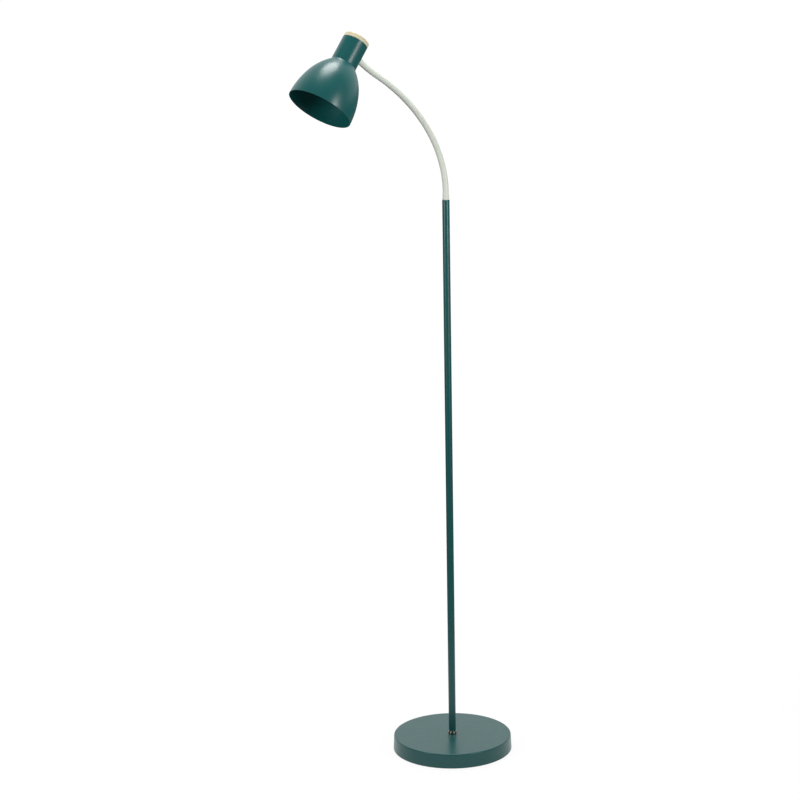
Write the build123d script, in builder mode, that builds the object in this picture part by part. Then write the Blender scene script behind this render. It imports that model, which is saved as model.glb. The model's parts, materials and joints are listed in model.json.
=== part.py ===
"""Gooseneck floor lamp: weighted base, screwed pole, flexible neck and a tilted bell shade.

Millimetres. +Z is up, the origin is on the floor under the pole, and the neck reaches along -X.
"""

import os
from math import cos, radians, sin, sqrt

from build123d import *

# Base: a pressed cover over a cast weight, standing on a soft pad
base_diameter = 242.4
base_top_diameter = 239.4
base_height = 30.0
base_edge_round = 2.5
cover_wall = 1.0
cover_lift = 0.8
pad_thickness = 2.0
pad_margin = 3.0
weight_thickness = 11.0
weight_gap = 0.3
weight_boss_diameter = 40.0
nut_recess_diameter = 32.0
nut_recess_depth = 10.0
cord_slot_width = 12.0

# Cable gland in the back of the cover
gland_height = 9.0
gland_bore = 6.4
gland_body_diameter = 9.0
gland_flange_diameter = 12.0
gland_flange_thickness = 2.0
gland_lip_diameter = 10.4
gland_lip_thickness = 1.5
gland_clearance = 0.1

# Hollow threaded studs, nuts and washers shared by the base, pole and head
stud_diameter = 10.0
stud_bore = 6.8
thread_clearance = 0.05
hole_clearance = 0.2
nut_flats = 14.0
nut_height = 4.5
base_washer_diameter = 28.0
base_washer_thickness = 1.5
lock_washer_diameter = 18.0
lock_washer_thickness = 1.2
stud_overrun = 1.0

# Pole: two tubes on a metal collar, with threaded inserts in their ends
collar_diameter = 17.0
collar_height = 6.0
collar_round = 0.8
pole_diameter = 14.5
pole_wall = 1.0
lower_pole_length = 546.5
upper_pole_length = 546.5
pole_end_round = 0.5
insert_length = 14.0
insert_clearance = 0.03
stud_reach = 12.0

# Neck: ball-ended links, each bent by its own angle, between two ferrules
neck_diameter = 11.8
neck_bore = 6.8
ball_clearance = 0.3
link_length = 43.0
link_turns = (13.5, 11.5, 9.5, 8.0, 6.5, 6.0, 5.5, -7.5)
lower_ferrule_length = 14.0
lower_ferrule_diameter = 13.2
ferrule_chamfer = 0.8
ferrule_ring_height = 6.0
ferrule_ring_width = 1.2
ferrule_ring_depth = 0.4
ball_throat = 2.5
upper_ferrule_length = 14.0
upper_ferrule_diameter = 12.8
upper_ferrule_neck = 3.5
upper_ferrule_flare = 4.5
saddle_gap = 0.05

# Shade: a bell of two tangent arcs with a flat seat under the cup
shade_diameter = 126.0
shade_height = 96.5
shade_wall = 1.0
shade_seat_diameter = 50.0
shade_rim_sweep = 21.5
shade_slope = 46.7

# Cup and wooden cap
cup_diameter = 50.0
cup_height = 50.2
cup_wall = 1.0
cup_corner_round = 0.8
neck_entry = 28.3
washer_diameter = 18.0
washer_thickness = 1.0
cap_diameter = 50.0
cap_thickness = 8.0
cap_round = 1.2
cap_recess_diameter = 19.0
cap_recess_depth = 6.0
cap_screw_spread = 30.0
cap_screw_diameter = 2.8
cap_screw_head_diameter = 6.0
cap_screw_head_height = 1.8
cap_screw_reach = 5.5

# Lamp holder for a 27 mm screw base
holder_skirt_diameter = 39.0
holder_skirt_wall = 3.3
holder_mouth_drop = 12.5
holder_skirt_rise = 11.5
holder_flange_diameter = 44.0
holder_flange_thickness = 3.0
holder_core_thickness = 6.0
holder_core_rise = 2.0
holder_fit = 0.1
holder_dome_diameter = 24.0
holder_dome_wall = 2.5
holder_boss_diameter = 18.0
holder_boss_length = 10.5
shell_bore = 26.6
shell_wall = 0.5
shell_length = 18.0
contact_diameter = 8.0
contact_thickness = 1.0
contact_stem_diameter = 3.8
terminal_spread = 18.0
terminal_diameter = 3.0
terminal_head_diameter = 5.2
terminal_head_height = 1.8
ring_diameter = 47.0
ring_height = 8.0

# Radii and heights that follow from the sizes above
base_radius = base_diameter / 2
base_top_radius = base_top_diameter / 2
stud_radius = stud_diameter / 2
thread_radius = stud_radius + thread_clearance
stud_hole_radius = stud_radius + hole_clearance
stud_bore_radius = stud_bore / 2
pole_radius = pole_diameter / 2
pole_inner_radius = pole_radius - pole_wall
insert_radius = pole_inner_radius - insert_clearance
neck_radius = neck_diameter / 2
socket_radius = neck_radius + ball_clearance
cup_radius = cup_diameter / 2
cup_inner_radius = cup_radius - cup_wall
skirt_radius = holder_skirt_diameter / 2
skirt_inner_radius = skirt_radius - holder_skirt_wall
shell_radius = shell_bore / 2
shell_outer_radius = shell_radius + shell_wall

weight_top = pad_thickness + weight_thickness
recess_top = pad_thickness + nut_recess_depth
cover_inside_top = base_height - cover_wall
pole_bottom = base_height + collar_height
pole_joint = pole_bottom + lower_pole_length
pole_top = pole_joint + upper_pole_length
cover_taper = (base_radius - base_top_radius) / (base_height - cover_lift)


def cover_radius_at(height):
    """Outer radius of the tapered cover side at a height above the floor."""
    return base_radius - cover_taper * (height - cover_lift)


def cover_inside_at(height):
    """Inner radius of the cover side, whose wall is square to the taper."""
    return cover_radius_at(height) - cover_wall * sqrt(1 + cover_taper**2)


def cover_inside_between(low, high):
    """Least inner radius of the cover side between two heights, whichever way it tapers."""
    return min(cover_inside_at(low), cover_inside_at(high))


def cover_outside_between(low, high):
    """Greatest outer radius of the cover side between two heights."""
    return max(cover_radius_at(low), cover_radius_at(high))


def outline(section, *points):
    """Closed straight-sided profile on a section plane, ready to revolve."""
    with BuildSketch(section) as profile:
        with BuildLine():
            Polyline(*points, close=True)
        make_face()
    return profile.sketch


def washer(level, outer_radius, hole_radius, thickness):
    """Flat ring that rises from a plane."""
    with BuildPart() as ring:
        with BuildSketch(level):
            Circle(outer_radius)
            Circle(hole_radius, mode=Mode.SUBTRACT)
        extrude(amount=thickness)
    return ring


def hex_nut(level):
    """Hexagon nut for the hollow studs, rising from a plane."""
    with BuildPart() as nut:
        with BuildSketch(level):
            RegularPolygon(nut_flats / 2, 6, major_radius=False)
            Circle(thread_radius, mode=Mode.SUBTRACT)
        extrude(amount=nut_height)
    return nut


def hollow_stud(level, length):
    """Threaded tube that rises from a plane."""
    return washer(level, stud_radius, stud_bore_radius, length)


def tube_insert(bottom):
    """Threaded bush pressed into the end of a pole tube."""
    return washer(Plane.XY.offset(bottom), insert_radius, thread_radius, insert_length)


def pole_tube(bottom, length):
    """Plain pole tube."""
    return washer(Plane.XY.offset(bottom), pole_radius, pole_inner_radius, length)


# Base pieces
pad_radius = cover_inside_between(cover_lift, pad_thickness) - pad_margin
with BuildPart() as base_pad:
    with BuildSketch():
        Circle(pad_radius)
    extrude(amount=pad_thickness)

with BuildPart() as base_weight:
    disc_radius = cover_inside_between(pad_thickness, weight_top) - weight_gap
    weight_boss_radius = weight_boss_diameter / 2
    recess_radius = nut_recess_diameter / 2
    revolve(
        outline(
            Plane.XZ,
            (recess_radius, pad_thickness),
            (disc_radius, pad_thickness),
            (disc_radius, weight_top),
            (weight_boss_radius, weight_top),
            (weight_boss_radius, cover_inside_top),
            (stud_hole_radius, cover_inside_top),
            (stud_hole_radius, recess_top),
            (recess_radius, recess_top),
        ),
        axis=Axis.Z,
    )
    # The cord runs in a radial slot from the back edge to the nut recess
    with BuildSketch(Plane.XY.offset(pad_thickness)):
        with Locations((base_washer_diameter / 2, 0)):
            Rectangle(disc_radius, cord_slot_width, align=(Align.MIN, Align.CENTER))
    extrude(amount=weight_thickness, mode=Mode.SUBTRACT)

with BuildPart() as base_cover:
    revolve(
        outline(
            Plane.XZ,
            (0, cover_lift),
            (base_radius, cover_lift),
            (base_top_radius, base_height),
            (0, base_height),
        ),
        axis=Axis.Z,
    )
    fillet(base_cover.faces().sort_by(Axis.Z)[-1].edges(), base_edge_round)
    offset(amount=-cover_wall, openings=base_cover.faces().sort_by(Axis.Z)[0])
    with BuildSketch(Plane.XY.offset(base_height)):
        Circle(stud_hole_radius)
    extrude(amount=-2 * cover_wall, mode=Mode.SUBTRACT)
    with BuildSketch(Plane.YZ.offset(base_top_radius / 2)):
        with Locations((0, gland_height)):
            Circle(gland_body_diameter / 2 + gland_clearance)
    extrude(amount=base_radius, mode=Mode.SUBTRACT)

with BuildPart() as cable_gland:
    flange_radius = gland_flange_diameter / 2
    lip_radius = gland_lip_diameter / 2
    flange_face = cover_outside_between(gland_height - flange_radius, gland_height + flange_radius)
    lip_wall = cover_inside_between(gland_height - lip_radius, gland_height + lip_radius)
    lip_face = sqrt(lip_wall**2 - lip_radius**2) - gland_clearance
    gland_section = Plane(origin=(0, 0, gland_height), x_dir=(0, 0, 1), z_dir=(0, 1, 0))
    revolve(
        outline(
            gland_section,
            (gland_bore / 2, lip_face - gland_lip_thickness),
            (lip_radius, lip_face - gland_lip_thickness),
            (lip_radius, lip_face),
            (gland_body_diameter / 2, lip_face),
            (gland_body_diameter / 2, flange_face),
            (flange_radius, flange_face),
            (flange_radius, flange_face + gland_flange_thickness),
            (gland_bore / 2, flange_face + gland_flange_thickness),
        ),
        axis=Axis((0, 0, gland_height), (1, 0, 0)),
    )

washer_bottom = recess_top - base_washer_thickness
lock_washer_bottom = washer_bottom - lock_washer_thickness
base_nut_bottom = lock_washer_bottom - nut_height
base_washer = washer(
    Plane.XY.offset(washer_bottom), base_washer_diameter / 2, stud_hole_radius, base_washer_thickness
)
base_lock_washer = washer(
    Plane.XY.offset(lock_washer_bottom), lock_washer_diameter / 2, stud_hole_radius, lock_washer_thickness
)
base_nut = hex_nut(Plane.XY.offset(base_nut_bottom))
nipple_bottom = base_nut_bottom - stud_overrun
base_nipple = hollow_stud(Plane.XY.offset(nipple_bottom), pole_bottom + stud_reach - nipple_bottom)

# Pole pieces
with BuildPart() as foot_collar:
    with BuildSketch(Plane.XY.offset(base_height)):
        Circle(collar_diameter / 2)
        Circle(thread_radius, mode=Mode.SUBTRACT)
    extrude(amount=collar_height)
    fillet(foot_collar.edges().filter_by(GeomType.CIRCLE).group_by(SortBy.RADIUS)[-1], collar_round)

lower_pole = pole_tube(pole_bottom, lower_pole_length)

with BuildPart() as upper_pole:
    add(pole_tube(pole_joint, upper_pole_length).part)
    fillet(upper_pole.edges().group_by(Axis.Z)[-1].sort_by(SortBy.RADIUS)[-1], pole_end_round)

foot_insert = tube_insert(pole_bottom)
joint_insert = tube_insert(pole_joint - insert_length)
top_insert = tube_insert(pole_top - insert_length)

with BuildPart() as joint_stud:
    # The plain half is fixed in the upper tube, the threaded half screws into the lower one
    revolve(
        outline(
            Plane.XZ,
            (stud_bore_radius, pole_joint - stud_reach),
            (stud_radius, pole_joint - stud_reach),
            (stud_radius, pole_joint),
            (insert_radius, pole_joint),
            (insert_radius, pole_joint + insert_length),
            (stud_bore_radius, pole_joint + insert_length),
        ),
        axis=Axis.Z,
    )


# Neck: it bends in the XZ plane, and a heading is in degrees from upright towards -X
def heading_vector(heading):
    """Unit direction for a heading."""
    return Vector(-sin(radians(heading)), 0, cos(radians(heading)))


def neck_link(start, heading, turn):
    """One bent conduit link with a ball at its start and a socket at its end."""
    bend_radius = link_length / radians(abs(turn))
    with BuildPart() as link:
        with BuildLine(Plane.XZ) as run:
            JernArc(start, heading_vector(heading), bend_radius, turn)
        mouth = Plane(origin=run.line @ 0, x_dir=(0, 1, 0), z_dir=run.line % 0)
        with BuildSketch(mouth):
            Circle(neck_radius)
        sweep()
        with Locations(mouth.location):
            Sphere(neck_radius, arc_size2=0, align=None)
        with Locations(run.line @ 1):
            Sphere(socket_radius, mode=Mode.SUBTRACT)
        with BuildSketch(mouth) as bore:
            Circle(neck_bore / 2)
        sweep(path=run.line, mode=Mode.SUBTRACT)
        extrude(bore.sketch, amount=-2 * neck_radius, mode=Mode.SUBTRACT)
    return link


def bend_end(start, heading, turn):
    """Where a link that starts at a point and heading ends."""
    bend_radius = link_length / radians(turn)
    chord = 2 * bend_radius * sin(radians(turn) / 2)
    return start + heading_vector(heading + turn / 2) * chord


neck_links = []
hinge = Vector(0, 0, pole_top + lower_ferrule_length)
heading = 0.0
print("hinge 1: x %.3f z %.3f heading %.2f" % (hinge.X, hinge.Z, heading))
for number, turn in enumerate(link_turns, 1):
    neck_links.append(neck_link(hinge, heading, turn))
    hinge = bend_end(hinge, heading, turn)
    heading += turn
    print("hinge %d: x %.3f z %.3f heading %.2f" % (number + 1, hinge.X, hinge.Z, heading))

with BuildPart() as lower_ferrule:
    ferrule_radius = lower_ferrule_diameter / 2
    ring_radius = ferrule_radius - ferrule_ring_depth
    ring_bottom = pole_top + ferrule_ring_height
    ring_top = ring_bottom + ferrule_ring_width
    first_hinge = pole_top + lower_ferrule_length
    barrel_top = first_hinge - ball_throat
    revolve(
        outline(
            Plane.XZ,
            (stud_bore_radius, pole_top - stud_reach),
            (stud_radius, pole_top - stud_reach),
            (stud_radius, pole_top),
            (ferrule_radius - ferrule_chamfer, pole_top),
            (ferrule_radius, pole_top + ferrule_chamfer),
            (ferrule_radius, ring_bottom),
            (ring_radius, ring_bottom),
            (ring_radius, ring_top),
            (ferrule_radius, ring_top),
            (ferrule_radius, barrel_top - ferrule_chamfer / 2),
            (ferrule_radius - ferrule_chamfer / 2, barrel_top),
            (stud_bore_radius, barrel_top),
        ),
        axis=Axis.Z,
    )
    with Locations((0, 0, first_hinge)):
        Sphere(socket_radius, mode=Mode.SUBTRACT)

# Head frame: "ahead" leaves the neck, "upward" runs up the head's axis from the shade's rim to the cap
ahead = heading_vector(heading)
upward = heading_vector(heading - 90)
last_hinge = hinge
entry_height = shade_height + neck_entry
rim_centre = last_hinge + ahead * (upper_ferrule_length + cup_radius) - upward * entry_height
head_axis = Axis(rim_centre, upward)
head_section = Plane(origin=rim_centre, x_dir=ahead, z_dir=(0, 1, 0))
neck_section = Plane(origin=last_hinge, x_dir=upward, z_dir=(0, -1, 0))
neck_axis = Axis(last_hinge, ahead)


def head_level(height):
    """Plane across the head at a height above the shade's rim."""
    return Plane(origin=rim_centre + upward * height, x_dir=ahead, z_dir=upward)


def neck_level(distance):
    """Plane across the neck's end at a distance past the last hinge."""
    return Plane(origin=last_hinge + ahead * distance, x_dir=upward, z_dir=ahead)


cup_top = shade_height + cup_height
cup_inside_top = cup_top - cup_wall
wall_outside = upper_ferrule_length
wall_inside = wall_outside + cup_wall
washer_radius = washer_diameter / 2
washer_bow = cup_inner_radius - sqrt(cup_inner_radius**2 - washer_radius**2)
neck_nut_seat = wall_inside + washer_bow + washer_thickness

with BuildPart() as upper_ferrule:
    barrel_radius = upper_ferrule_diameter / 2
    flare_end = upper_ferrule_neck + upper_ferrule_flare
    saddle_end = wall_outside + cup_radius / 2
    revolve(
        outline(
            neck_section,
            (0, 0),
            (neck_radius, 0),
            (neck_radius, upper_ferrule_neck),
            (barrel_radius, flare_end),
            (barrel_radius, saddle_end),
            (0, saddle_end),
        ),
        axis=neck_axis,
    )
    with Locations(neck_level(0).location):
        Sphere(neck_radius, arc_size2=0, align=None)
    # The barrel's end is hollowed to sit against the round cup
    with BuildSketch(head_level(0)):
        Circle(cup_radius + saddle_gap)
    extrude(amount=cup_top, mode=Mode.SUBTRACT)
    with BuildSketch(neck_level(flare_end)):
        Circle(stud_radius)
    extrude(amount=neck_nut_seat + nut_height + stud_overrun - flare_end)
    with BuildSketch(neck_level(-2 * neck_radius)):
        Circle(stud_bore_radius)
    extrude(amount=2 * neck_radius + wall_outside + cup_radius, mode=Mode.SUBTRACT)

with BuildPart() as neck_washer:
    # Flat on the nut's side, curved to the inside of the cup on the other
    with BuildSketch(neck_level(wall_inside)):
        Circle(washer_radius)
        Circle(stud_hole_radius, mode=Mode.SUBTRACT)
    extrude(amount=neck_nut_seat - wall_inside)
    with BuildSketch(head_level(0)):
        Circle(cup_inner_radius - saddle_gap)
    extrude(amount=cup_top, mode=Mode.INTERSECT)

neck_nut = hex_nut(neck_level(neck_nut_seat))

# Shade: both arcs start and end on given tangents, so their radii follow from the height and the spread
shade_radius = shade_diameter / 2
seat_radius = shade_seat_diameter / 2
spread = shade_radius - seat_radius
rim_sine = sin(radians(shade_rim_sweep))
rim_cosine = cos(radians(shade_rim_sweep))
slope_sine = sin(radians(shade_slope))
slope_cosine = cos(radians(shade_slope))
arc_scale = rim_sine * (rim_cosine - slope_cosine) - (1 - rim_cosine) * (slope_sine - rim_sine)
rim_arc = (shade_height * (rim_cosine - slope_cosine) - spread * (slope_sine - rim_sine)) / arc_scale
shoulder_arc = (rim_sine * spread - (1 - rim_cosine) * shade_height) / arc_scale
shoulder_sweep = shade_slope - shade_rim_sweep
seat_underside = shade_height - shade_wall * slope_sine
shade_hole_radius = skirt_radius + hole_clearance

with BuildPart() as shade:
    with BuildSketch(head_section):
        with BuildLine():
            outer_rim = JernArc((shade_radius, 0), (0, 1), rim_arc, shade_rim_sweep)
            outer_top = JernArc(outer_rim @ 1, outer_rim % 1, shoulder_arc, shoulder_sweep)
            inner_rim = JernArc((shade_radius - shade_wall, 0), (0, 1), rim_arc - shade_wall, shade_rim_sweep)
            inner_top = JernArc(inner_rim @ 1, inner_rim % 1, shoulder_arc - shade_wall, shoulder_sweep)
            Line(outer_rim @ 0, inner_rim @ 0)
            Polyline(
                outer_top @ 1,
                (shade_hole_radius, shade_height),
                (shade_hole_radius, seat_underside),
                inner_top @ 1,
            )
        make_face()
    revolve(axis=head_axis)

# Cup and wooden cap
with BuildPart() as socket_cup:
    with BuildSketch(head_level(shade_height)):
        Circle(cup_radius)
    extrude(amount=cup_height)
    fillet(socket_cup.edges().sort_by(head_axis)[-1], cup_corner_round)
    with BuildSketch(head_level(shade_height)):
        Circle(cup_inner_radius)
    extrude(amount=cup_height - cup_wall, mode=Mode.SUBTRACT)
    with BuildSketch(head_level(cup_top)):
        Circle(stud_hole_radius)
        with GridLocations(0, cap_screw_spread, 1, 2):
            Circle(cap_screw_diameter / 2 + hole_clearance)
    extrude(amount=-2 * cup_wall, mode=Mode.SUBTRACT)
    with BuildSketch(neck_level(0)):
        Circle(stud_hole_radius)
    extrude(amount=wall_outside + cup_radius / 2, mode=Mode.SUBTRACT)

with BuildPart() as wood_cap:
    with BuildSketch(head_level(cup_top)):
        Circle(cap_diameter / 2)
    extrude(amount=cap_thickness)
    fillet(wood_cap.edges().sort_by(head_axis)[-1], cap_round)
    with BuildSketch(head_level(cup_top)):
        Circle(cap_recess_diameter / 2)
    extrude(amount=cap_recess_depth, mode=Mode.SUBTRACT)
    with BuildSketch(head_level(cup_top)):
        with GridLocations(0, cap_screw_spread, 1, 2):
            Circle(cap_screw_diameter / 2 + thread_clearance)
    extrude(amount=cap_screw_reach, mode=Mode.SUBTRACT)

with BuildPart() as cap_screws:
    with BuildSketch(head_level(cup_inside_top)):
        with GridLocations(0, cap_screw_spread, 1, 2):
            Circle(cap_screw_head_diameter / 2)
    extrude(amount=-cap_screw_head_height)
    with BuildSketch(head_level(cup_inside_top)):
        with GridLocations(0, cap_screw_spread, 1, 2):
            Circle(cap_screw_diameter / 2)
    extrude(amount=cup_wall + cap_screw_reach)

# Lamp holder: skirt, core and cap in insulating plastic, with a brass screw shell and contact
skirt_bottom = shade_height - holder_mouth_drop
skirt_top = shade_height + holder_skirt_rise
core_top = skirt_top + holder_core_rise
core_bottom = core_top - holder_core_thickness
core_radius = skirt_inner_radius - holder_fit

with BuildPart() as holder_skirt:
    flange_top = shade_height + holder_flange_thickness
    revolve(
        outline(
            head_section,
            (skirt_inner_radius, skirt_bottom),
            (skirt_radius, skirt_bottom),
            (skirt_radius, shade_height),
            (holder_flange_diameter / 2, shade_height),
            (holder_flange_diameter / 2, flange_top),
            (skirt_radius, flange_top),
            (skirt_radius, skirt_top),
            (skirt_inner_radius, skirt_top),
        ),
        axis=head_axis,
    )

with BuildPart() as holder_cap:
    # A 45 degree shoulder joins the wide foot to the slim dome, and the boss takes the nipple
    dome_radius = holder_dome_diameter / 2
    dome_inner_radius = dome_radius - holder_dome_wall
    holder_boss_radius = holder_boss_diameter / 2
    holder_boss_bottom = cup_inside_top - holder_boss_length
    shoulder_bottom = skirt_top + holder_core_rise / 2
    shoulder_top = shoulder_bottom + skirt_radius - dome_radius
    inner_shoulder_top = core_top + skirt_inner_radius - dome_inner_radius
    revolve(
        outline(
            head_section,
            (skirt_inner_radius, skirt_top),
            (skirt_radius, skirt_top),
            (skirt_radius, shoulder_bottom),
            (dome_radius, shoulder_top),
            (dome_radius, holder_boss_bottom),
            (holder_boss_radius, holder_boss_bottom + holder_dome_wall),
            (holder_boss_radius, cup_inside_top),
            (thread_radius, cup_inside_top),
            (thread_radius, holder_boss_bottom),
            (dome_inner_radius, holder_boss_bottom - holder_dome_wall),
            (dome_inner_radius, inner_shoulder_top),
            (skirt_inner_radius, core_top),
        ),
        axis=head_axis,
    )

with BuildPart() as holder_core:
    with BuildSketch(head_level(core_bottom)):
        Circle(core_radius)
    extrude(amount=holder_core_thickness)
    with BuildSketch(head_level(core_bottom)):
        Circle(contact_diameter / 2 + holder_fit)
    extrude(amount=contact_thickness, mode=Mode.SUBTRACT)
    with BuildSketch(head_level(core_bottom)):
        Circle(contact_stem_diameter / 2 + thread_clearance)
        with GridLocations(terminal_spread, 0, 2, 1):
            Circle(terminal_diameter / 2 + thread_clearance)
    extrude(amount=holder_core_thickness, mode=Mode.SUBTRACT)

screw_shell = washer(
    head_level(core_bottom - shell_length), shell_outer_radius, shell_radius, shell_length
)

with BuildPart() as centre_contact:
    with BuildSketch(head_level(core_bottom)):
        Circle(contact_diameter / 2)
    extrude(amount=contact_thickness)
    with BuildSketch(head_level(core_bottom + contact_thickness)):
        Circle(contact_stem_diameter / 2)
    extrude(amount=holder_core_thickness - contact_thickness)

with BuildPart() as terminal_screws:
    with BuildSketch(head_level(core_top)):
        with GridLocations(terminal_spread, 0, 2, 1):
            Circle(terminal_head_diameter / 2)
    extrude(amount=terminal_head_height)
    with BuildSketch(head_level(core_top)):
        with GridLocations(terminal_spread, 0, 2, 1):
            Circle(terminal_diameter / 2)
    extrude(amount=-holder_core_thickness)

shade_ring = washer(
    head_level(seat_underside - ring_height), ring_diameter / 2, skirt_radius + thread_clearance, ring_height
)
holder_nipple = hollow_stud(
    head_level(cup_inside_top - holder_boss_length),
    holder_boss_length + cup_wall + nut_height + stud_overrun,
)
nipple_nut = hex_nut(head_level(cup_top))

# Every piece is its own node
pieces = {
    "base_pad": base_pad,
    "base_weight": base_weight,
    "base_cover": base_cover,
    "cable_gland": cable_gland,
    "base_nipple": base_nipple,
    "base_washer": base_washer,
    "base_lock_washer": base_lock_washer,
    "base_nut": base_nut,
    "foot_collar": foot_collar,
    "lower_pole": lower_pole,
    "upper_pole": upper_pole,
    "foot_insert": foot_insert,
    "joint_insert": joint_insert,
    "joint_stud": joint_stud,
    "top_insert": top_insert,
    "lower_ferrule": lower_ferrule,
    "upper_ferrule": upper_ferrule,
    "neck_washer": neck_washer,
    "neck_nut": neck_nut,
    "shade": shade,
    "shade_ring": shade_ring,
    "socket_cup": socket_cup,
    "wood_cap": wood_cap,
    "cap_screws": cap_screws,
    "holder_skirt": holder_skirt,
    "holder_cap": holder_cap,
    "holder_core": holder_core,
    "screw_shell": screw_shell,
    "centre_contact": centre_contact,
    "terminal_screws": terminal_screws,
    "holder_nipple": holder_nipple,
    "nipple_nut": nipple_nut,
}
for number, link in enumerate(neck_links, 1):
    pieces["neck_link_%d" % number] = link

os.makedirs("parts", exist_ok=True)
for name, piece in pieces.items():
    piece.part.label = name
    export_step(piece.part, "parts/%s.step" % name)

print("rim centre", rim_centre, "upward", upward, "ahead", ahead)
print("shade arcs: rim %.1f shoulder %.1f" % (rim_arc, shoulder_arc))
print("pole top %.1f, cap top %.1f" % (pole_top, (rim_centre + upward * (cup_top + cap_thickness)).Z))
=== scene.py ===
import json
import math

import bpy
from mathutils import Matrix, Vector

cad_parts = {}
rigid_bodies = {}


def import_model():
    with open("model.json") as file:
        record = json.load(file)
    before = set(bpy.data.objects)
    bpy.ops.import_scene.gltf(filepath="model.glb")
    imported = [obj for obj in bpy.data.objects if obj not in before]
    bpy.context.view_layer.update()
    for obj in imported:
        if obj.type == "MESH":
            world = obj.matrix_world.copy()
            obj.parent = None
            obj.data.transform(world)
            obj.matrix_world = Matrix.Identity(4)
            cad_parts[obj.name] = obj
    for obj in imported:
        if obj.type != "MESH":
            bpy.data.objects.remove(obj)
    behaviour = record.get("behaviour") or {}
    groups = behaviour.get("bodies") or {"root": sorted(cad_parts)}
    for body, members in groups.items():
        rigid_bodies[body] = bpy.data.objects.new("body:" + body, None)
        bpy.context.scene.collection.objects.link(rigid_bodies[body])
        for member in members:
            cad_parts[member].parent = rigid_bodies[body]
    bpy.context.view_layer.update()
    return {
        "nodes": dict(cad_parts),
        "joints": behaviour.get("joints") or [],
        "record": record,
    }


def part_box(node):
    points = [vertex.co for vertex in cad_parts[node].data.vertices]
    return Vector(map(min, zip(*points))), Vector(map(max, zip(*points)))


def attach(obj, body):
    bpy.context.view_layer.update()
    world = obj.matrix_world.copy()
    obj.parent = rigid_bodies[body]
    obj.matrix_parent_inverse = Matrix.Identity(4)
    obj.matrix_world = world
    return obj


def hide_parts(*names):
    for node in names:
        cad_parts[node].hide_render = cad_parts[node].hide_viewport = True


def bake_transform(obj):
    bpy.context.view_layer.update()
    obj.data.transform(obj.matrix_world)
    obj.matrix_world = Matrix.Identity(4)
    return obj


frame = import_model()
nodes = frame["nodes"]
record = frame["record"]
mounts = {mount["name"]: mount for mount in record["mounts"]}
mm = 0.001
turnRound = 2 * math.pi


def addObject(name, data):
    thing = bpy.data.objects.new(name, data)
    bpy.context.scene.collection.objects.link(thing)
    return thing


# Camera: a long lens a little higher than the shade, turned so that the neck leans towards it
cameraSet = {
    "armTurn": 42.2,      # degrees between the neck's plane and the picture
    "distance": 4.174,    # metres from the pole
    "height": 1.614,
    "pitch": 11.94,       # degrees below level
    "yaw": -1.318,
    "roll": -0.979,
    "lens": 96.55,
    "sensor": 36.0,
    "farthest": 200.0,    # metres that it sees
}


def placeCamera(shot):
    pitch, yaw, roll = (math.radians(shot[key]) for key in ("pitch", "yaw", "roll"))
    ahead = Vector((math.sin(yaw) * math.cos(pitch), math.cos(yaw) * math.cos(pitch), -math.sin(pitch)))
    right = ahead.cross(Vector((0, 0, 1))).normalized()
    up = right.cross(ahead)
    rolledRight = right * math.cos(roll) + up * math.sin(roll)
    rolledUp = up * math.cos(roll) - right * math.sin(roll)
    stand = Matrix((rolledRight, rolledUp, -ahead)).transposed().to_4x4()
    stand.translation = Vector((0, -shot["distance"], shot["height"]))
    data = bpy.data.cameras.new("camera")
    data.lens = shot["lens"]
    data.sensor_width = shot["sensor"]
    data.clip_end = shot["farthest"]
    camera = addObject("camera", data)
    camera.matrix_world = Matrix.Rotation(math.radians(-shot["armTurn"]), 4, "Z") @ stand
    bpy.context.scene.camera = camera


placeCamera(cameraSet)
print("camera placed")


# One socket of a node tree: maths on it is written as Python
class Wire:
    def __init__(self, tree, socket=None):
        self.tree = tree
        self.socket = socket

    def feed(self, target, value):
        if isinstance(value, Wire):
            self.tree.links.new(value.socket, target)
        else:
            target.default_value = value

    def add(self, kind, settings=None, inputs=None, out=0):
        node = self.tree.nodes.new(kind)
        for name, value in (settings or {}).items():
            setattr(node, name, value)
        for name, value in (inputs or {}).items():
            self.feed(node.inputs[name], value)
        return Wire(self.tree, node.outputs[out])

    def maths(self, operation, first, second=0.0):
        return self.add("ShaderNodeMath", {"operation": operation}, {0: first, 1: second})

    def mix(self, low, high):               # this socket is the share of the second colour
        return self.add("ShaderNodeMix", {"data_type": "RGBA"}, {0: self, 6: low, 7: high}, 2)

    def __add__(self, other):
        return self.maths("ADD", self, other)

    def __radd__(self, other):
        return self.maths("ADD", other, self)

    def __sub__(self, other):
        return self.maths("SUBTRACT", self, other)

    def __rsub__(self, other):
        return self.maths("SUBTRACT", other, self)

    def __mul__(self, other):
        return self.maths("MULTIPLY", self, other)

    def __rmul__(self, other):
        return self.maths("MULTIPLY", other, self)

    def __truediv__(self, other):
        return self.maths("DIVIDE", self, other)

    def __pow__(self, other):
        return self.maths("POWER", self, other)


def screenColour(red, green, blue):         # a colour as a screen shows it, 0 to 255
    def linear(value):
        share = value / 255
        return share / 12.92 if share <= 0.04045 else ((share + 0.055) / 1.055) ** 2.4
    return (linear(red), linear(green), linear(blue), 1.0)


def grain(place, scale, detail):
    return place.add("ShaderNodeTexNoise", inputs={"Vector": place, "Scale": scale, "Detail": detail})


def stretched(place, scale, turn=(0, 0, 0), shift=(0, 0, 0)):
    settings = {"Vector": place, "Scale": scale, "Rotation": turn, "Location": shift}
    return place.add("ShaderNodeMapping", inputs=settings)


def drawnGrain(place, scale, detail):       # grain with a scale of its own along each axis
    return grain(stretched(place, scale), 1, detail)


def bumped(height, depth):
    return height.add("ShaderNodeBump", inputs={"Height": height, "Distance": depth, "Strength": 1.0})


def unevenRough(place, look, detail):       # gloss that drifts a little either way
    return look["rough"] + (grain(place, look["roughGrain"], detail) - 0.5) * look["roughSpread"]


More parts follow.
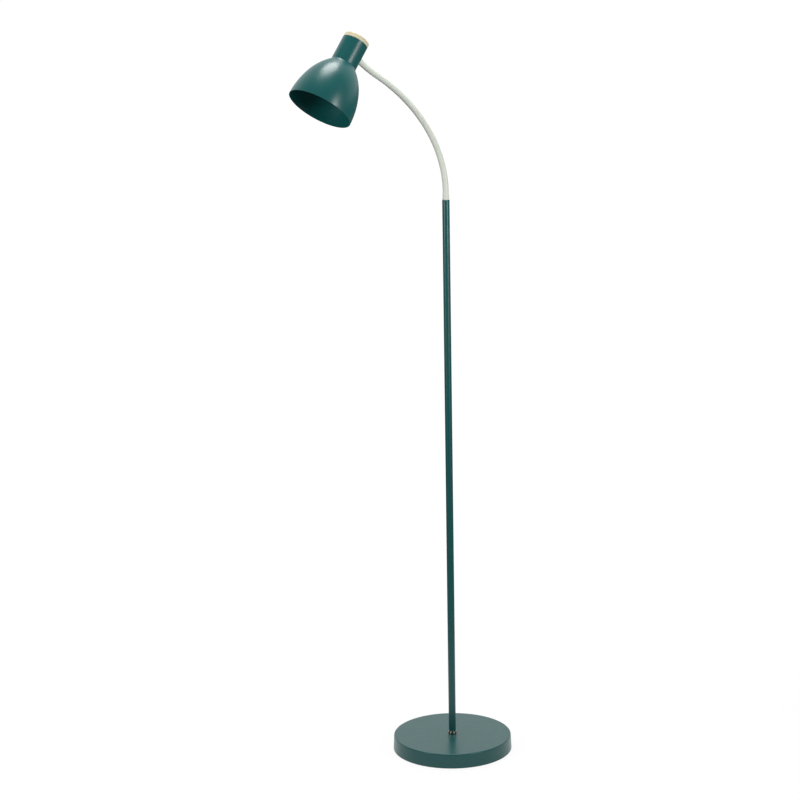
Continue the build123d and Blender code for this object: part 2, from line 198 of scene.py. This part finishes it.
def makeFinish(name, look, layers):
    material = bpy.data.materials.new(name)
    material.use_nodes = True
    tree = material.node_tree
    shader = tree.nodes["Principled BSDF"]
    for socket, value in look["shader"].items():
        shader.inputs[socket].default_value = value
    place = Wire(tree).add("ShaderNodeTexCoord", out="Object")
    for socket, wire in layers(place, look).items():
        tree.links.new(wire.socket, shader.inputs[socket])
    return material


# In each finish: a name with Grain is a noise scale per metre, one with Share is a part of a mix

# Satin powder coat: a faint drift of tone, and the skin of fine orange peel
greenSet = {
    "shader": {"Specular IOR Level": 0.42},
    "deep": screenColour(11, 78, 77),
    "bright": screenColour(15, 83, 82),
    "toneGrain": 12,
    "rough": 0.32,
    "roughGrain": 85,
    "roughSpread": 0.09,
    "peel": 0.008 * mm,
    "peelGrain": 620,
    "finePeelGrain": 2100,
    "finePeelShare": 0.35,
}


def greenLayers(place, look):
    tone = grain(place, look["toneGrain"], 3)
    peel = grain(place, look["peelGrain"], 1)
    finePeel = grain(place, look["finePeelGrain"], 1)
    return {
        "Base Color": tone.mix(look["deep"], look["bright"]),
        "Roughness": unevenRough(place, look, 3),
        "Normal": bumped(peel + finePeel * look["finePeelShare"], look["peel"]),
    }


# Pale sage coat on the neck and its ferrules: flatter, and a little chalky
sageSet = {
    "shader": {},
    "deep": screenColour(208, 214, 203),
    "bright": screenColour(214, 220, 209),
    "toneGrain": 40,
    "rough": 0.44,
    "roughGrain": 160,
    "roughSpread": 0.08,
    "peel": 0.008 * mm,
    "peelGrain": 1400,
}


def sageLayers(place, look):
    tone = grain(place, look["toneGrain"], 3)
    return {
        "Base Color": tone.mix(look["deep"], look["bright"]),
        "Roughness": unevenRough(place, look, 2),
        "Normal": bumped(grain(place, look["peelGrain"], 1.5), look["peel"]),
    }


# Warm nickel collar: turned on a lathe and polished, so its fine lines run round the pole
nickelSet = {
    "shader": {"Metallic": 1.0},
    "shadow": (0.28, 0.21, 0.18, 1.0),
    "light": (0.44, 0.34, 0.29, 1.0),
    "rough": 0.09,
    "roughSpread": 0.06,
    "lines": 0.0015 * mm,
    "lineGrain": (40, 40, 5200),
}


def nickelLayers(place, look):
    lines = drawnGrain(place, look["lineGrain"], 2)
    return {
        "Base Color": lines.mix(look["shadow"], look["light"]),
        "Roughness": look["rough"] + lines * look["roughSpread"],
        "Normal": bumped(lines, look["lines"]),
    }


# Zinc-plated nuts, washers and studs: cool grey with a soft crystal drift
zincSet = {
    "shader": {"Metallic": 1.0},
    "dull": (0.42, 0.44, 0.46, 1.0),
    "clean": (0.70, 0.71, 0.72, 1.0),
    "crystalGrain": 420,
    "crystalShare": 0.6,
    "rough": 0.28,
    "roughSpread": 0.16,
    "scratch": 0.008 * mm,
    "scratchGrain": (900, 900, 120),
    "scratchShare": 0.4,
}


def zincLayers(place, look):
    cells = {"Vector": place, "Scale": look["crystalGrain"]}
    crystals = place.add("ShaderNodeTexVoronoi", inputs=cells, out="Color")
    shade = crystals.add("ShaderNodeRGBToBW", inputs={"Color": crystals})
    scratches = drawnGrain(place, look["scratchGrain"], 2)
    clean = shade * look["crystalShare"] + scratches * look["scratchShare"]
    return {
        "Base Color": clean.mix(look["dull"], look["clean"]),
        "Roughness": look["rough"] + scratches * look["roughSpread"],
        "Normal": bumped(scratches, look["scratch"]),
    }


# Pressed brass of the lamp holder, a little dulled
brassSet = {
    "shader": {"Metallic": 1.0},
    "tarnish": (0.46, 0.32, 0.13, 1.0),
    "bright": (0.84, 0.66, 0.34, 1.0),
    "dullGrain": 160,
    "contrast": 1.4,
    "offset": -0.2,
    "rough": 0.20,
    "roughSpread": 0.22,
    "dents": 0.01 * mm,
    "dentGrain": 900,
}


def brassLayers(place, look):
    dulled = grain(place, look["dullGrain"], 3)
    dents = grain(place, look["dentGrain"], 2)
    return {
        "Base Color": (dulled * look["contrast"] + look["offset"]).mix(look["tarnish"], look["bright"]),
        "Roughness": look["rough"] + (1 - dulled) * look["roughSpread"],
        "Normal": bumped(dents, look["dents"]),
    }


# Cast ballast under the cover: sand-cast skin
ironSet = {
    "shader": {},
    "dark": (0.035, 0.035, 0.037, 1.0),
    "grey": (0.11, 0.11, 0.115, 1.0),
    "patchGrain": 30,
    "patchShare": 0.3,
    "rough": 0.62,
    "roughSpread": 0.2,
    "sand": 0.25 * mm,
    "sandGrain": 520,
    "sandShare": 0.7,
}


def ironLayers(place, look):
    sand = grain(place, look["sandGrain"], 4)
    patches = grain(place, look["patchGrain"], 2)
    tone = sand * look["sandShare"] + patches * look["patchShare"]
    return {
        "Base Color": tone.mix(look["dark"], look["grey"]),
        "Roughness": look["rough"] + sand * look["roughSpread"],
        "Normal": bumped(sand, look["sand"]),
    }


# Floor pad: dense black foam with an open, pitted skin; its pits are painted darker than the skin, as
# painted shade in the hollows
padSet = {
    "shader": {"Specular IOR Level": 0.3},
    # darker colour in the pits: painted shade, not a colour of the foam
    "paintedPitShade": (0.012, 0.012, 0.012, 1.0),
    "skin": (0.045, 0.045, 0.046, 1.0),
    "contrast": 1.3,
    "rough": 0.82,
    "roughGrain": 200,
    "roughSpread": 0.1,
    "pits": 0.12 * mm,
    "pitGrain": 900,
}


def padLayers(place, look):
    pits = {"Vector": place, "Scale": look["pitGrain"]}
    cells = place.add("ShaderNodeTexVoronoi", inputs=pits, out="Distance")
    return {
        # painted shade: the colour darkens where the bump sinks into a pit
        "Base Color": (cells * look["contrast"]).mix(look["paintedPitShade"], look["skin"]),
        "Roughness": unevenRough(place, look, 2),
        "Normal": bumped(cells, look["pits"]),
    }


# Moulded rubber of the cable gland
glandSet = {
    "shader": {"Specular IOR Level": 0.4},
    "dark": (0.014, 0.014, 0.015, 1.0),
    "worn": (0.035, 0.035, 0.036, 1.0),
    "rough": 0.58,
    "roughGrain": 300,
    "roughSpread": 0.14,
    "skin": 0.03 * mm,
    "skinGrain": 1500,
}


def glandLayers(place, look):
    skin = grain(place, look["skinGrain"], 2)
    return {
        "Base Color": skin.mix(look["dark"], look["worn"]),
        "Roughness": unevenRough(place, look, 2),
        "Normal": bumped(skin, look["skin"]),
    }


# Black insulating plastic of the lamp holder, with a fine moulded texture
plasticSet = {
    "shader": {},
    "dark": (0.010, 0.010, 0.011, 1.0),
    "dusty": (0.030, 0.030, 0.031, 1.0),
    "dustGrain": 90,
    "rough": 0.38,
    "roughGrain": 240,
    "roughSpread": 0.12,
    "texture": 0.025 * mm,
    "textureGrain": 1900,
}


def plasticLayers(place, look):
    dust = grain(place, look["dustGrain"], 3)
    return {
        "Base Color": dust.mix(look["dark"], look["dusty"]),
        "Roughness": unevenRough(place, look, 2),
        "Normal": bumped(grain(place, look["textureGrain"], 1), look["texture"]),
    }


# Head frame: its axis leaves the lamp socket towards the wooden cap
upward = -Vector(mounts["lamp_socket"]["axis"]).normalized()
socketMiddle = Vector(mounts["lamp_socket"]["pos_m"])
headTilt = math.atan2(upward.x, upward.z)
headFrame = Matrix.Translation(socketMiddle) @ Matrix.Rotation(headTilt, 4, "Y")


def alongHead(name):                        # a node's ends on the head's axis, its least and largest radius
    spots = [headFrame.inverted() @ vertex.co for vertex in nodes[name].data.vertices]
    heights = [spot.z for spot in spots]
    reach = [math.hypot(spot.x, spot.y) for spot in spots]
    return {"low": min(heights), "high": max(heights), "least": min(reach), "most": max(reach)}


# Pale beech cap: plank-sawn, with growth rings, fibres and small rays
woodSet = {
    "shader": {"Specular IOR Level": 0.35},
    "pale": screenColour(214, 209, 180),
    "tan": screenColour(177, 159, 123),
    "fleck": screenColour(153, 128, 90),
    "heart": (0.034, 0.0, -0.052),          # middle of the tree from the cap's own, metres
    "ring": 2.6 * mm,
    "wander": 3.0 * mm,                     # how far a ring strays
    "wanderGrain": (60, 9, 60),
    "lateWood": 2.2,                        # higher is a narrower dark edge on each ring
    "lateShare": 0.55,
    "lateBumpShare": 0.3,
    "fibreGrain": (1500, 70, 1500),
    "fibreShare": 0.45,
    "fibreBumpShare": 0.7,
    "rayGrain": (420, 120, 900),
    "rayLeast": 0.64,
    "rayEdge": 9,
    "rayShare": 0.55,
    "rough": 0.50,
    "roughSpread": 0.2,
    "pores": 0.05 * mm,
}


def woodLayers(place, look):
    cap = alongHead("wood_cap")
    middle = headFrame @ Vector((0, 0, (cap["low"] + cap["high"]) / 2))
    upright = Matrix.Rotation(-headTilt, 3, "Y")
    shift = -(upright @ middle) - Vector(look["heart"])
    board = stretched(place, (1, 1, 1), (0, -headTilt, 0), shift)
    wander = drawnGrain(board, look["wanderGrain"], 2)
    across = board.add("ShaderNodeSeparateXYZ", inputs={"Vector": board}, out="X")
    through = board.add("ShaderNodeSeparateXYZ", inputs={"Vector": board}, out="Z")
    reach = (across * across + through * through) ** 0.5 + (wander - 0.5) * look["wander"]
    late = reach.maths("FRACT", reach / look["ring"]) ** look["lateWood"]
    fibres = drawnGrain(board, look["fibreGrain"], 3)
    isRay = (drawnGrain(board, look["rayGrain"], 1) - look["rayLeast"]) * look["rayEdge"]
    rays = isRay.add("ShaderNodeClamp", inputs={"Value": isRay})
    tone = late * look["lateShare"] + fibres * look["fibreShare"]
    body = tone.mix(look["pale"], look["tan"])
    relief = fibres * look["fibreBumpShare"] + late * look["lateBumpShare"]
    return {
        "Base Color": (rays * look["rayShare"]).mix(body, look["fleck"]),
        "Roughness": look["rough"] + (fibres - 0.5) * look["roughSpread"],
        "Normal": bumped(relief, look["pores"]),
    }


finishes = {
    "green_paint": makeFinish("satinGreenPaint", greenSet, greenLayers),
    "pale_paint": makeFinish("sagePaint", sageSet, sageLayers),
    "nickel": makeFinish("warmNickel", nickelSet, nickelLayers),
    "zinc_steel": makeFinish("zincSteel", zincSet, zincLayers),
    "cast_iron": makeFinish("castIron", ironSet, ironLayers),
    "pad_rubber": makeFinish("padFoam", padSet, padLayers),
    "gland_rubber": makeFinish("glandRubber", glandSet, glandLayers),
    "pale_wood": makeFinish("beechCap", woodSet, woodLayers),
    "holder_plastic": makeFinish("holderPlastic", plasticSet, plasticLayers),
    "brass": makeFinish("holderBrass", brassSet, brassLayers),
}
for part in record["subparts"]:
    slots = nodes[part["node"]].data.materials
    slots.clear()
    slots.append(finishes[part["material_slot"]])
print("finishes: %d on %d nodes" % (len(finishes), len(nodes)))


def newPiece(name, mesh, slot):
    piece = addObject(name, mesh)
    if not mesh.materials:
        mesh.materials.append(finishes[slot])
    return piece


# Node tree with a geometry input and output, and one named input for each size
def newTree(name, sizes):
    tree = bpy.data.node_groups.new(name, "GeometryNodeTree")
    tree.interface.new_socket("Geometry", in_out="INPUT", socket_type="NodeSocketGeometry")
    tree.interface.new_socket("Geometry", in_out="OUTPUT", socket_type="NodeSocketGeometry")
    for size, kind in sizes.items():
        tree.interface.new_socket(size, in_out="INPUT", socket_type="NodeSocket" + kind)
    inputs = tree.nodes.new("NodeGroupInput")
    return tree, {socket.name: Wire(tree, socket) for socket in inputs.outputs if socket.name}


def endTree(tree, shape, coat):
    whole = shape.add("GeometryNodeRealizeInstances", inputs={"Geometry": shape})
    smooth = whole.add("GeometryNodeSetShadeSmooth", inputs={"Geometry": whole})
    dressed = smooth.add("GeometryNodeSetMaterial", inputs={"Geometry": smooth, "Material": coat})
    result = tree.nodes.new("NodeGroupOutput")
    tree.links.new(dressed.socket, result.inputs[0])
    return tree


treeSharp = 50.0                            # degrees, from which an edge of the result stays crisp


def runTree(tree, source, sizes):           # the tree's result on an object's data, as a plain mesh
    modifier = source.modifiers.new("shape", "NODES")
    modifier.node_group = tree
    for item in tree.interface.items_tree:
        if item.in_out == "INPUT" and item.name in sizes:
            modifier[item.identifier] = sizes[item.name]
    bpy.context.view_layer.update()
    evaluated = source.evaluated_get(bpy.context.evaluated_depsgraph_get())
    mesh = bpy.data.meshes.new_from_object(evaluated)
    bpy.data.objects.remove(source)
    mesh.set_sharp_from_angle(angle=math.radians(treeSharp))
    return mesh


# Gooseneck: a smooth coat over wound conduit, whose turns barely show through as ribs
neckSet = {
    "radius": 6.02 * mm,      # at the crest of a rib
    "ribDepth": 0.012 * mm,
    "ribsPerLink": 18,
    "ringsPerRib": 6,
    "sides": 36,
    "tuckIn": 3.0 * mm,       # into the lower ferrule, below the first joint
    "cover": 4.8 * mm,        # over the neck of the upper ferrule, past the last joint
    "bendReach": 21.0 * mm,   # half the stretch about a joint; nothing here bends with it
}


def headingVector(heading):                 # radians from upright towards -X
    return Vector((-math.sin(heading), 0, math.cos(heading)))


def neckLinks():                            # each link is an arc from the heading of the one before
    hinges = [Vector(joint["pos_m"]) for joint in frame["joints"]]
    heading = 0.0
    links = []
    for start, end in zip(hinges, hinges[1:]):
        chord = end - start
        turn = 2 * (math.atan2(-chord.x, chord.z) - heading)
        radius = chord.length / (2 * math.sin(turn / 2))
        links.append({"start": start, "heading": heading, "turn": turn, "radius": radius})
        heading += turn
    return hinges, links, heading


hinges, links, lastHeading = neckLinks()
linkLength = sum(link["radius"] * link["turn"] for link in links) / len(links)
neckLength = linkLength * len(links)
ribPitch = linkLength / neckSet["ribsPerLink"]


def neckPoint(distance):                    # point of the neck's middle line, from the first joint
    if distance <= 0:
        return hinges[0] + headingVector(0.0) * distance
    if distance >= neckLength:
        return hinges[-1] + headingVector(lastHeading) * (distance - neckLength)
    number = min(int(distance / linkLength), len(links) - 1)
    link = links[number]
    swept = link["turn"] * (distance / linkLength - number)
    chord = 2 * link["radius"] * math.sin(swept / 2)
    return link["start"] + headingVector(link["heading"] + swept / 2) * chord


def ribTree():
    sizes = {"Radius": "Float", "Rib Share": "Float", "Pitch": "Float", "Start": "Float"}
    sizes.update({"Sides": "Int", "Coat": "Material"})
    tree, size = newTree("ribbedNeck", sizes)
    along = size["Radius"].add("GeometryNodeSplineParameter", out="Length")
    turns = (along + size["Start"]) / size["Pitch"]
    wave = turns.maths("COSINE", turns * turnRound) * 0.5 + 0.5
    circle = {"Resolution": size["Sides"], "Radius": size["Radius"]}
    ring = wave.add("GeometryNodeCurvePrimitiveCircle", inputs=circle)
    skin = {
        "Curve": size["Geometry"],
        "Profile Curve": ring,
        "Scale": 1 - wave * size["Rib Share"],
        "Fill Caps": True,
    }
    tube = wave.add("GeometryNodeCurveToMesh", inputs=skin)
    return endTree(tree, tube, size["Coat"])


def neckPath(start, end):
    count = round((end - start) / ribPitch * neckSet["ringsPerRib"])
    curve = bpy.data.curves.new("neckPath", "CURVE")
    curve.dimensions = "3D"
    line = curve.splines.new("POLY")
    line.points.add(count)
    for number, point in enumerate(line.points):
        point.co = (*neckPoint(start + (end - start) * number / count), 1.0)
    return addObject("neckPath", curve)


def makeNeck():
    tree = ribTree()
    last = len(hinges) - 1
    for number, joint in enumerate(frame["joints"]):
        low = -neckSet["tuckIn"] if number == 0 else (number - 0.5) * linkLength
        high = neckLength + neckSet["cover"] if number == last else (number + 0.5) * linkLength
        sizes = {
            "Radius": neckSet["radius"],
            "Rib Share": neckSet["ribDepth"] / neckSet["radius"],
            "Pitch": ribPitch,
            "Start": low + linkLength,      # the waves of neighbours meet
            "Sides": neckSet["sides"],
            "Coat": finishes["pale_paint"],
        }
        mesh = runTree(tree, neckPath(low, high), sizes)
        piece = newPiece("gooseneck_%d" % (number + 1), mesh, "pale_paint")
        before = neckSet["tuckIn"] if number == 0 else neckSet["bendReach"]
        after = neckSet["tuckIn"] if number == last else neckSet["bendReach"]
        at = number * linkLength
        neckPoint(at - before)
        neckPoint(at + after)
        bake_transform(piece)
        stoodFor = [body for body in (joint["parent"], joint["child"]) if body.startswith("neck")]
        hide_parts(*(node for body in stoodFor for node in record["behaviour"]["bodies"][body]))


makeNeck()
print("gooseneck: %d pieces, %.0f mm" % (len(hinges), neckLength / mm))

# Turned pieces: a closed section of (radius, height, thread depth) points, spun on an upright axis
turnedSharp = 38.0                          # degrees, from which their edges stay crisp


def turnPiece(name, section, slot, segments, pitch=1.0, stand=headFrame):
    points = []
    for step in range(segments):
        angle = turnRound * step / segments
        for radius, height, depth in section:
            wave = 0.5 + 0.5 * math.cos(turnRound * height / pitch - angle)
            reach = radius - depth * wave
            points.append(stand @ Vector((reach * math.cos(angle), reach * math.sin(angle), height)))
    rows = len(section)
    faces = []
    for step in range(segments):
        here = step * rows
        there = (step + 1) % segments * rows
        for row in range(rows):
            above = (row + 1) % rows
            faces.append((here + row, there + row, there + above, here + above))
    mesh = bpy.data.meshes.new(name)
    mesh.from_pydata(points, [], faces)
    mesh.shade_smooth()
    mesh.set_sharp_from_angle(angle=math.radians(turnedSharp))
    mesh.update()
    return newPiece(name, mesh, slot)


def threadRun(radius, low, high, depth, count):   # evenly spaced points of a threaded wall
    return [(radius, low + (high - low) * step / count, depth) for step in range(count + 1)]


# Brass screw shell: the thread is rolled into thin sheet, so both faces follow it
shellSet = {
    "pitch": 3.6 * mm,
    "depth": 0.9 * mm,
    "wall": 0.35 * mm,
    "rows": 60,
    "segments": 96,
}


def makeShell():
    span = alongHead("screw_shell")
    radius, low, high = span["least"], span["low"], span["high"]
    inner = threadRun(radius, high, low, shellSet["depth"], shellSet["rows"])
    outer = threadRun(radius + shellSet["wall"], low, high, shellSet["depth"], shellSet["rows"])
    shell = turnPiece("threaded_shell", outer + inner, "brass", shellSet["segments"], shellSet["pitch"])
    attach(shell, "head")
    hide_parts("screw_shell")


# Shade ring: a plastic nut with finger ribs round it
ringSet = {
    "body": 22.6 * mm,        # radius between the ribs
    "bevel": 0.7 * mm,
    "ribs": 40,
    "ribSides": 10,
    "ribWidth": 1.9 * mm,
    "ribEnds": 0.9 * mm,      # bare height at each end of a rib
    "segments": 120,
}


def gripTree():
    sizes = {"Radius": "Float", "Width": "Float", "Height": "Float"}
    sizes.update({"Ribs": "Int", "Sides": "Int", "Coat": "Material"})
    tree, size = newTree("gripRibs", sizes)
    circle = {"Vertices": size["Ribs"], "Radius": size["Radius"]}
    ring = size["Ribs"].add("GeometryNodeMeshCircle", inputs=circle)
    rod = {"Vertices": size["Sides"], "Radius": size["Width"] * 0.5, "Depth": size["Height"]}
    bar = size["Width"].add("GeometryNodeMeshCylinder", inputs=rod)
    ribs = bar.add("GeometryNodeInstanceOnPoints", inputs={"Points": ring, "Instance": bar})
    return endTree(tree, ribs, size["Coat"])


def makeShadeRing():
    span = alongHead("shade_ring")
    low, high, least = span["low"], span["high"], span["least"]
    bevel = ringSet["bevel"]
    body = ringSet["body"]
    section = [
        (body - bevel, low, 0), (body, low + bevel, 0), (body, high - bevel, 0), (body - bevel, high, 0),
        (least, high, 0), (least, low + bevel / 2, 0), (least + bevel / 2, low, 0),
    ]
    ring = turnPiece("shade_ring_body", section, "holder_plastic", ringSet["segments"])
    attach(ring, "head")
    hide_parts("shade_ring")
    sizes = {
        "Ribs": ringSet["ribs"],
        "Sides": ringSet["ribSides"],
        "Radius": span["most"] - ringSet["ribWidth"] / 2,
        "Width": ringSet["ribWidth"],
        "Height": high - low - 2 * ringSet["ribEnds"],
        "Coat": finishes["holder_plastic"],
    }
    bare = addObject("gripSource", bpy.data.meshes.new("gripSource"))
    ribs = runTree(gripTree(), bare, sizes)
    ribs.transform(headFrame @ Matrix.Translation((0, 0, (low + high) / 2)))
    grip = newPiece("shade_ring_ribs", ribs, "holder_plastic")
    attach(grip, "head")


# Holder skirt: the wall below the flange is threaded for the shade ring
skirtSet = {
    "pitch": 2.6 * mm,
    "depth": 0.55 * mm,
    "bevel": 0.5 * mm,
    "rows": 34,
    "segments": 96,
    "flange": 22.0 * mm,
    "flangeThickness": 3.0 * mm,
    "outer": 19.5 * mm,
}


def makeSkirt():
    span = alongHead("holder_skirt")
    low, high, least = span["low"], span["high"], span["least"]
    seat = alongHead("socket_cup")["low"]
    bevel = skirtSet["bevel"]
    outer = skirtSet["outer"]
    flange = skirtSet["flange"]
    flangeTop = seat + skirtSet["flangeThickness"]
    section = [(least, high, 0), (least, low + bevel, 0), (least + bevel, low, 0)]
    section += [(outer - 2 * bevel, low, 0)]
    section += threadRun(outer, low + bevel, seat - bevel, skirtSet["depth"], skirtSet["rows"])
    section += [(outer, seat, 0), (flange, seat, 0), (flange, flangeTop, 0)]
    section += [(outer, flangeTop, 0), (outer, high, 0)]
    skirt = turnPiece("threaded_skirt", section, "holder_plastic", skirtSet["segments"], skirtSet["pitch"])
    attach(skirt, "head")
    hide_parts("holder_skirt")


# Painted fillet where the cup meets the shade
beadSet = {
    "leg": 2.2 * mm,          # up the cup and down the shade from the seam
    "shadeSlope": 46.7,       # degrees from the head's axis, of the shade's wall at the seam
    "sunk": 0.3 * mm,         # back of the bead, behind the cup's wall
    "rows": 10,
    "segments": 128,
}


def makeBead():
    cup = alongHead("socket_cup")
    seam, cupRadius = cup["low"], cup["most"]
    leg = beadSet["leg"]
    slope = math.radians(beadSet["shadeSlope"])
    radius = leg / math.tan(slope / 2)
    section = [(cupRadius - beadSet["sunk"], seam - beadSet["sunk"], 0)]
    for step in range(beadSet["rows"] + 1):
        swept = slope * (1 - step / beadSet["rows"])
        reach = cupRadius + radius * (1 - math.cos(swept))
        section.append((reach, seam + leg - radius * math.sin(swept), 0))
    bead = turnPiece("cup_bead", section, "green_paint", beadSet["segments"])
    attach(bead, "head")


# Rounded top edge of the base cover, a fine paint skin
edgeSet = {
    "round": 2.5 * mm,
    "taper": 2.94,            # degrees that the cover's side leans in
    "proud": 0.02 * mm,
    "skin": 0.3 * mm,
    "rows": 14,
    "segments": 256,
}


def makeCoverEdge():
    low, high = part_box("base_cover")
    taper = math.radians(edgeSet["taper"])
    middleHeight = high[2] - edgeSet["round"]
    side = high[1] - math.tan(taper) * (middleHeight - low[2])
    middle = side - edgeSet["round"] / math.cos(taper)
    rows = edgeSet["rows"]
    turns = [taper + (math.pi / 2 - taper) * step / rows for step in range(rows + 1)]

    def arc(reach):
        spots = [(reach * math.cos(turn), reach * math.sin(turn)) for turn in turns]
        return [(middle + out, middleHeight + up, 0) for out, up in spots]

    section = arc(edgeSet["round"] + edgeSet["proud"]) + arc(edgeSet["round"] - edgeSet["skin"])[::-1]
    edge = turnPiece("cover_edge", section, "green_paint", edgeSet["segments"], stand=Matrix.Identity(4))
    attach(edge, "stand")


makeCoverEdge()
makeShell()
makeShadeRing()
makeSkirt()
makeBead()
print("turned pieces: cover edge, shell, ring, skirt and bead")

# Studio: white paper under the lamp, a white sweep behind it, a soft box overhead and one on each side
studioSet = {
    "floorSize": 140.0,
    "paperColour": (0.80, 0.80, 0.80, 1.0),
    "bareColour": (0.25, 0.25, 0.25, 1.0),    # studio floor round the paper
    "paperReach": (0.40, 0.80),               # metres from the pole
    "glowNear": 0.872,                        # level of the shown floor that no shadow reaches
    "glowFar": 0.97,
    "glowReach": (0.5, 2.5),
    "veil": (0.14, 0.14, 0.14, 1.0),          # how far a shadow shows on it
    "roomColour": (1.0, 1.0, 1.0, 1.0),
    "roomFront": 0.19,                        # light from the room behind the camera
    "roomBack": 0.80,                         # light from the paper sweep
    "sweepEdge": (-0.05, 0.55),
    "sweepTurn": 133.0,                       # degrees, the way from the pole to the sweep
}
lampSets = {                                  # the side boxes have grids, which keep their light narrow
    "softBox": {
        "shape": "ELLIPSE",
        "size": (1.08, 1.25),
        "turn": 125.0,
        "rise": 76.0,
        "distance": 1.9,
        "power": 45.5,
        "spread": 180.0,
    },
    "rightBox": {
        "shape": "RECTANGLE",
        "size": (0.40, 1.6),
        "turn": 11.0,
        "rise": 1.0,
        "distance": 2.2,
        "power": 9.8,
        "spread": 86.0,
    },
    "leftBox": {
        "shape": "RECTANGLE",
        "size": (0.45, 1.6),
        "turn": -97.0,
        "rise": 1.0,
        "distance": 2.2,
        "power": 8.4,
        "spread": 86.0,
    },
}


def smoothStep(value, low, high):
    edges = {"Value": value, "From Min": low, "From Max": high}
    return value.add("ShaderNodeMapRange", {"interpolation_type": "SMOOTHSTEP"}, edges)


def sweepShare(way):                        # 0 on the camera's side, 1 on the sweep's side
    turn = math.radians(studioSet["sweepTurn"])
    sweep = (math.sin(turn), -math.cos(turn), 0.0)
    facing = way.add("ShaderNodeVectorMath", {"operation": "DOT_PRODUCT"}, {0: way, 1: sweep}, "Value")
    return smoothStep(facing, *studioSet["sweepEdge"])


def shownWhite(share):                      # 1 for the camera, and for gloss and glass where the paper is
    kinds = ("Is Camera Ray", "Is Glossy Ray", "Is Transmission Ray")
    camera, glossy, through = (share.add("ShaderNodeLightPath", out=kind) for kind in kinds)
    return share.maths("MAXIMUM", camera, share.maths("MAXIMUM", glossy, through) * share)


def makeFloor():
    half = studioSet["floorSize"] / 2
    mesh = bpy.data.meshes.new("floor")
    corners = [(-half, -half, 0), (half, -half, 0), (half, half, 0), (-half, half, 0)]
    mesh.from_pydata(corners, [], [(0, 1, 2, 3)])
    material = bpy.data.materials.new("whiteFloor")
    material.use_nodes = True
    tree = material.node_tree
    tree.nodes.clear()
    place = Wire(tree).add("ShaderNodeTexCoord", out="Object")
    reach = place.add("ShaderNodeVectorMath", {"operation": "LENGTH"}, {0: place}, "Value")
    isPaper = 1 - smoothStep(reach, *studioSet["paperReach"])
    colour = isPaper.mix(studioSet["bareColour"], studioSet["paperColour"])
    matt = place.add("ShaderNodeBsdfDiffuse", inputs={"Color": colour})
    isFar = smoothStep(reach, *studioSet["glowReach"])
    strength = studioSet["glowNear"] + isFar * (studioSet["glowFar"] - studioSet["glowNear"])
    glow = place.add("ShaderNodeEmission", inputs={"Strength": strength})
    veil = place.add("ShaderNodeBsdfDiffuse", inputs={"Color": studioSet["veil"]})
    shown = place.add("ShaderNodeAddShader", inputs={0: glow, 1: veil})
    surface = place.add("ShaderNodeMixShader", inputs={0: shownWhite(isPaper), 1: matt, 2: shown})
    out = tree.nodes.new("ShaderNodeOutputMaterial")
    tree.links.new(surface.socket, out.inputs["Surface"])
    material.cycles.emission_sampling = "NONE"     # the glow is only for show, so no rays are spent on it
    mesh.materials.append(material)
    floor = addObject("floor", mesh)


def makeRoom():
    world = bpy.data.worlds.new("room")
    bpy.context.scene.world = world
    world.use_nodes = True
    tree = world.node_tree
    tree.nodes.clear()
    way = Wire(tree).add("ShaderNodeTexCoord", out="Generated")
    isSweep = sweepShare(way)
    level = studioSet["roomFront"] + isSweep * (studioSet["roomBack"] - studioSet["roomFront"])
    strength = level + (1 - level) * shownWhite(isSweep)
    back = way.add("ShaderNodeBackground", inputs={"Color": studioSet["roomColour"], "Strength": strength})
    out = tree.nodes.new("ShaderNodeOutputWorld")
    tree.links.new(back.socket, out.inputs["Surface"])


def makeLamp(name, lamp):
    turn, rise = math.radians(lamp["turn"]), math.radians(lamp["rise"])
    way = Vector((math.sin(turn) * math.cos(rise), -math.cos(turn) * math.cos(rise), math.sin(rise)))
    data = bpy.data.lights.new(name, "AREA")
    data.shape = lamp["shape"]
    data.size, data.size_y = lamp["size"]
    data.energy = lamp["power"]
    data.spread = math.radians(lamp["spread"])
    light = addObject(name, data)
    light.location = socketMiddle + way * lamp["distance"]
    light.rotation_mode = "QUATERNION"
    light.rotation_quaternion = (-way).to_track_quat("-Z", "Y")
    light.visible_camera = False


makeFloor()
makeRoom()
for lampName, lamp in lampSets.items():
    makeLamp(lampName, lamp)
bpy.context.scene.view_settings.view_transform = "Standard"
print("studio ready")
